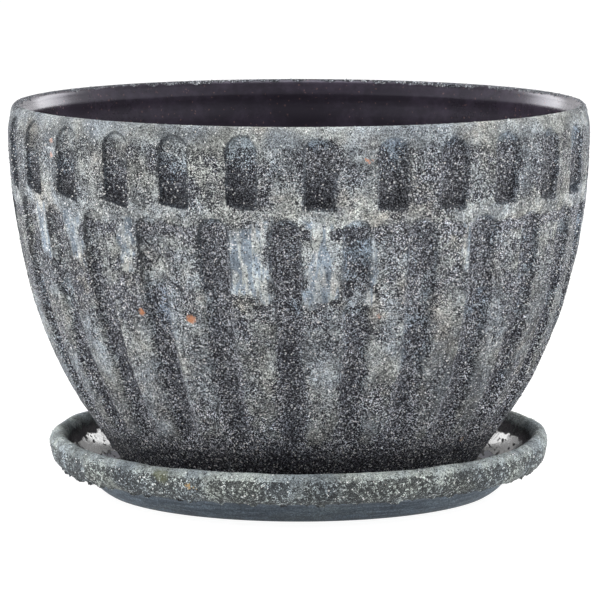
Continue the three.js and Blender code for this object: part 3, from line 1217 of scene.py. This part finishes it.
saucerSizes = {  # mm
    "floor": 7,
    "wellRadius": 98,
    "underRadius": 100.5,
    "footHeight": 9,
    "footFlare": 7.8,
    "rimThickness": 10,
    "rimRise": 6.6,
    "rimTuck": 2.5,
    "coveReach": 13,
    "coveRise": 3.5,
    "skin": 0.35,
    "coatBelow": 16.5,  # the gritty coat starts this far under the rim's widest line
    "coatInside": 4.0,  # and ends this far inside the rim
    "columns": 880,
}


def saucerRings():
    s = saucerSizes
    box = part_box("saucer")
    rimRadius = box[1][0] / mm
    top = box[1][2] / mm
    inside = rimRadius - s["rimThickness"]
    widest = top - s["rimRise"]
    foot = (s["underRadius"] + s["footFlare"], s["footHeight"])
    side = bezier([(s["underRadius"], 0), (foot[0], foot[1] / 2), foot], 9)
    flare = bezier([foot, (rimRadius - s["rimTuck"], (foot[1] * 2 + widest) / 3), (rimRadius, widest)], 22)
    angles = np.linspace(0, math.pi, 24)
    crown = np.stack(
        [
            inside + s["rimThickness"] / 2 * (1 + np.cos(angles)),
            widest + s["rimRise"] * np.sin(angles),
        ],
        1,
    )
    cove = bezier(
        [
            (inside, widest),
            (s["wellRadius"] + s["coveReach"], s["floor"] + s["coveRise"]),
            (s["wellRadius"], s["floor"]),
        ],
        18,
    )
    under = [(radius, 0) for radius in (4, 30, 60, 85, 98, s["underRadius"] - 0.6)]
    middle = [(radius, s["floor"]) for radius in (90, 60, 30, 4)]
    flank = np.vstack([side, flare[1:]])
    for turn in range(6):  # rounds the corner where the foot meets the flare
        flank[1:-1] = (flank[:-2] + 2 * flank[1:-1] + flank[2:]) / 4
    path = np.vstack([under, flank[1:-1], crown[:-1], cove, middle])
    path[:, 0] -= s["skin"] * np.clip((path[:, 0] - 90) / 10, 0, 1) * (path[:, 1] > 0)
    along = alongOf(path)
    rimStart = len(under) + len(flank) - 2
    rimEnd = rimStart + len(crown) - 1
    low = along[rimStart] - s["coatBelow"]
    high = along[rimEnd] + s["coatInside"]
    reach = np.clip(np.minimum(along - low, high - along), -farthest, farthest)
    outer = (along < (low + high) / 2).astype(float)
    fineFrom, fineTo = low - 5, high + 3
    rings = [(r, h, 0, not fineFrom < a < fineTo) for (r, h), a in zip(path, along)]
    return rings, reach, outer


rimSizes = {
    "Lump size": 24 * mm,
    "Lump height": 0.9 * mm,
    "Drip size": 7 * mm,
    "Drip height": 2.2 * mm,
    "Coat swell": 2.2 * mm,
    "Front dip": 2.4 * mm,
    "Skin": 0.7 * mm,  # roughness of the coat
    "Step": 0.9 * mm,  # the coat stands out this far from the side under it
}


def rimTree():
    # a rim that was dipped in grit by hand: lumpy, and with drips under its edge
    tree, given, result = newTree("uneven rim", {"Float": list(rimSizes), "Material": ["Clay"]})
    position = make(tree, "GeometryNodeInputPosition")
    y, z = axes(position)[1:]
    reach = namedValue(position, "reach")
    outer = namedValue(position, "outer")
    coated = ramp(reach, -1.0, 2.0)
    lump = noise(position, 1.0 / given["Lump size"], detail=2) - 0.5
    lump *= given["Lump height"] * 2.0
    fine = noise(position, 420.0, detail=3, roughness=0.7) - 0.5
    drops = noise(position, 1.0 / given["Drip size"], detail=3, roughness=0.6)
    drops = ramp(drops, 0.5, 0.66)
    edge = ramp(reach, -1.5, 0.5) * ramp(reach, 6.5, 2.5)
    drops = drops * edge * (outer * given["Drip height"])
    skin = fine * coated * given["Skin"]
    out = lump * coated + drops + skin
    out -= coated * (given["Skin"] * 0.5)
    below = ramp(reach, 0.3, -0.7) * ramp(reach, -11.0, -4.0)
    out -= below * outer * given["Step"]
    swell = ramp(reach, -0.5, 4.0) * ramp(reach, 16.0, 8.0)
    out += swell * outer * given["Coat swell"]
    rim = swollen(given["Geometry"], out * (z > 2 * mm))
    # the rim sags a little at the front
    front = ramp(y, 10 * mm, -125 * mm)
    high = ramp(z, 8 * mm, 30 * mm)
    rim = raised(rim, front * high * (given["Front dip"] * -1.0))
    dress(rim, given["Clay"], result)
    return tree


saucerLook = {
    "grainsPerArea": 90000.0,
    "grain": 0.42 * mm,
    "slip": (0.285, 0.31, 0.29, 1),
    "coolSlip": (0.195, 0.225, 0.245, 1),
    "grit": (0.05, 0.053, 0.055, 1),
    "darkGrit": (0.02, 0.022, 0.024, 1),
    "sparkle": 0.009,
    "slate": (0.14, 0.178, 0.218, 1),
    "darkSlate": (0.07, 0.09, 0.115, 1),
    "bareWall": (0.17, 0.152, 0.168, 1),
    "wiped": (0.5, 0.5, 0.56, 1),
    "paintedReflectionRing": 104 * mm,  # its radius
    "paleSlate": (0.16, 0.195, 0.216, 1),
    "glaze": (0.033, 0.03, 0.035, 1),
}

saucerMarks = [  # degrees from the front, height, width in mm, colour
    (-31.8, 24.5, 5.0, "olive"),
    (-33.5, 26.5, 4.0, "olive"),
    (-25, 20.5, 2.2, "ochre"),
    (-23.5, 20, 1.6, "ochre"),
    (37.4, 29, 2.2, "rust"),
    (-37, 30, 1.6, "pore"),
    (49, 25, 2.0, "pore"),
    (47, 24.6, 1.4, "pore"),
    (140, 24, 2.0, "ochre"),
    (-120, 26, 2.0, "rust"),
    (175, 27, 1.6, "pore"),
]


def coatLine(place):
    # distance in mm from the coat's jagged ends
    jagged = noise(place, 160.0, detail=5, roughness=0.65) - 0.5
    return namedValue(place, "reach") + jagged * 9.0


def saucerCoat(place):
    look = saucerLook
    z = axes(place)[2]
    outer = namedValue(place, "outer")
    # the coat is worn down to pits along the outer face, here and there
    worn = ramp(noise(place, 34.0, detail=5, roughness=0.65), 0.38, 0.49)
    pitted = worn * (ramp(z, 27 * mm, 23.5 * mm) * outer)
    # inside, the coat thins out towards the glaze
    thin = ramp(namedValue(place, "reach"), 10.0, 3.0) * (1.0 - outer)
    # painted shade at the coat's ragged lower end under the rim, where the coat is also thinner and its
    # grit bare
    frayedAndShaded = ramp(coatLine(place), 3.2, 1.2) * outer
    frayedAndShaded *= ramp(noise(place, 30.0, detail=2), 0.42, 0.55)
    return useGroup(
        slipOverGrit,
        place,
        grainSize=look["grain"],
        cover=1.05 - pitted * 0.16 - thin * 0.9 - frayedAndShaded,
        brushed=ramp(z, 25 * mm, 28 * mm) * 0.4,
        shade=ramp(thin, 0, 1, 1.0, 0.75) * (1.0 - frayedAndShaded * 0.6),
        contrast=ramp(pitted - thin, -1, 1, 0.2, 1.5),
        sparkle=look["sparkle"] * (1.0 - thin),
        pits=ramp(pitted, 0, 1, 0.08, 0.75) * (1.0 - thin * 0.6),
        slip=look["slip"],
        coolSlip=look["coolSlip"],
        smear=look["coolSlip"],
        grit=blendColour(thin, look["grit"], look["bareWall"]),
        darkGrit=look["darkGrit"],
    )


def saucerMaterial():
    look = saucerLook
    material, shader, place = newMaterial("slipped stoneware")
    outer = namedValue(place, "outer")
    coat = saucerCoat(place)
    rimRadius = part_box("saucer")[1][0] / mm
    body = chipped(place, coat["Colour"], saucerMarks, lambda height: rimRadius)
    # thin slip on the side, with the lines that turning left in it
    turned = stretched(place, (1, 1, 13))
    lines = noise(turned, 52.0, detail=5, roughness=0.62)
    smear = noise(stretched(place, (1, 1, 4)), 34.0, detail=5, roughness=0.6)
    slate = blendColour(ramp(lines, 0.42, 0.58), look["darkSlate"], look["slate"])
    slate = blendColour(ramp(smear, 0.5, 0.68) * 0.75, slate, look["paleSlate"])
    dust = useGroup(sandGrains, place, grainSize=0.6 * mm, paleShare=0.01, darkShare=0.02)
    speckled = maths("EXPONENT", dust["Tone"] * 0.6)
    slate = tinted(slate, greyOf(speckled))
    slate = blendColour(dust["Dark"] * 0.6, slate, look["darkSlate"])
    # a painted reflection of the white backdrop: a ragged pale ring on the cove, broken by dark streaks,
    # where the glaze's own gloss is mostly turned off
    x, y = axes(place)[:2]
    torn = noise(place, 240.0, detail=4, roughness=0.7) - 0.5
    fromRing = abs(distance(x, y) + torn * (7 * mm) - look["paintedReflectionRing"])
    wiped = ramp(fromRing, 2.8 * mm, 2.2 * mm) * (1.0 - outer)
    gaps = noise(stretched(place, (1, 0.35, 0.6)), 420.0, detail=3, roughness=0.6)
    gaps = ramp(gaps, 0.57, 0.61) * (1.0 - outer)
    wiped *= 1.0 - gaps * 0.85
    inner = blendColour(wiped, look["glaze"], look["wiped"])
    under = blendColour(outer, inner, slate)
    coated = ramp(coatLine(place), -0.5, 0.5)
    feed(shader.inputs["Base Color"], blendColour(coated, under, body))
    dull = most(most(gaps, wiped), outer)
    bare = ramp(dull, 0, 1, 0.2, 0.72)
    glazed = (1.0 - outer) * (1.0 - coated)
    glazed *= 1.0 - wiped * 0.9
    glazed *= 0.3 - gaps * 0.3
    feed(shader.inputs["Coat Weight"], glazed)
    feed(shader.inputs["Coat Roughness"], 0.06)
    feed(shader.inputs["Coat IOR"], 1.65)
    feed(shader.inputs["Roughness"], bare + coated * (0.92 - bare))
    waves = noise(place, 130.0, detail=4, roughness=0.6) * 0.35
    scored = lines * 0.4
    plain = waves + (scored - waves) * outer
    rough = coat["Height"] * 0.6
    height = plain + (rough - plain + 0.6) * coated
    raiseSkin(shader, height, 0.6 * mm)
    return material


def makeSaucer():
    s = saucerSizes
    rings, reach, outer = saucerRings()
    columns = np.arange(s["columns"]) * 2 * math.pi / s["columns"]
    mesh = turnedMesh("saucer", rings, columns, closed=True)
    storeByRing(mesh, "reach", rings, columns, reach)
    storeByRing(mesh, "outer", rings, columns, outer)
    saucer = newObject("turned_saucer", mesh)
    grow(saucer, rimTree(), {**rimSizes, "Clay": saucerMaterial()})
    perArea = saucerLook["grainsPerArea"]
    return saucer, sandOn(saucer, "saucer", saucerCoat, perArea, 0.0, 5)


saucer, saucerSand = makeSaucer()
print("saucer:", len(saucer.data.polygons), "faces, sand:", len(saucerSand.data.polygons))

bpy.data.objects.remove(grainObject)

for wall, grains, name, slot in (
    (bowl, bowlSand, "bowl", "gritty_stoneware"),
    (saucer, saucerSand, "saucer", "slipped_stoneware"),
):
    for piece in (wall, grains):
        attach(piece, name)
    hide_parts(name)
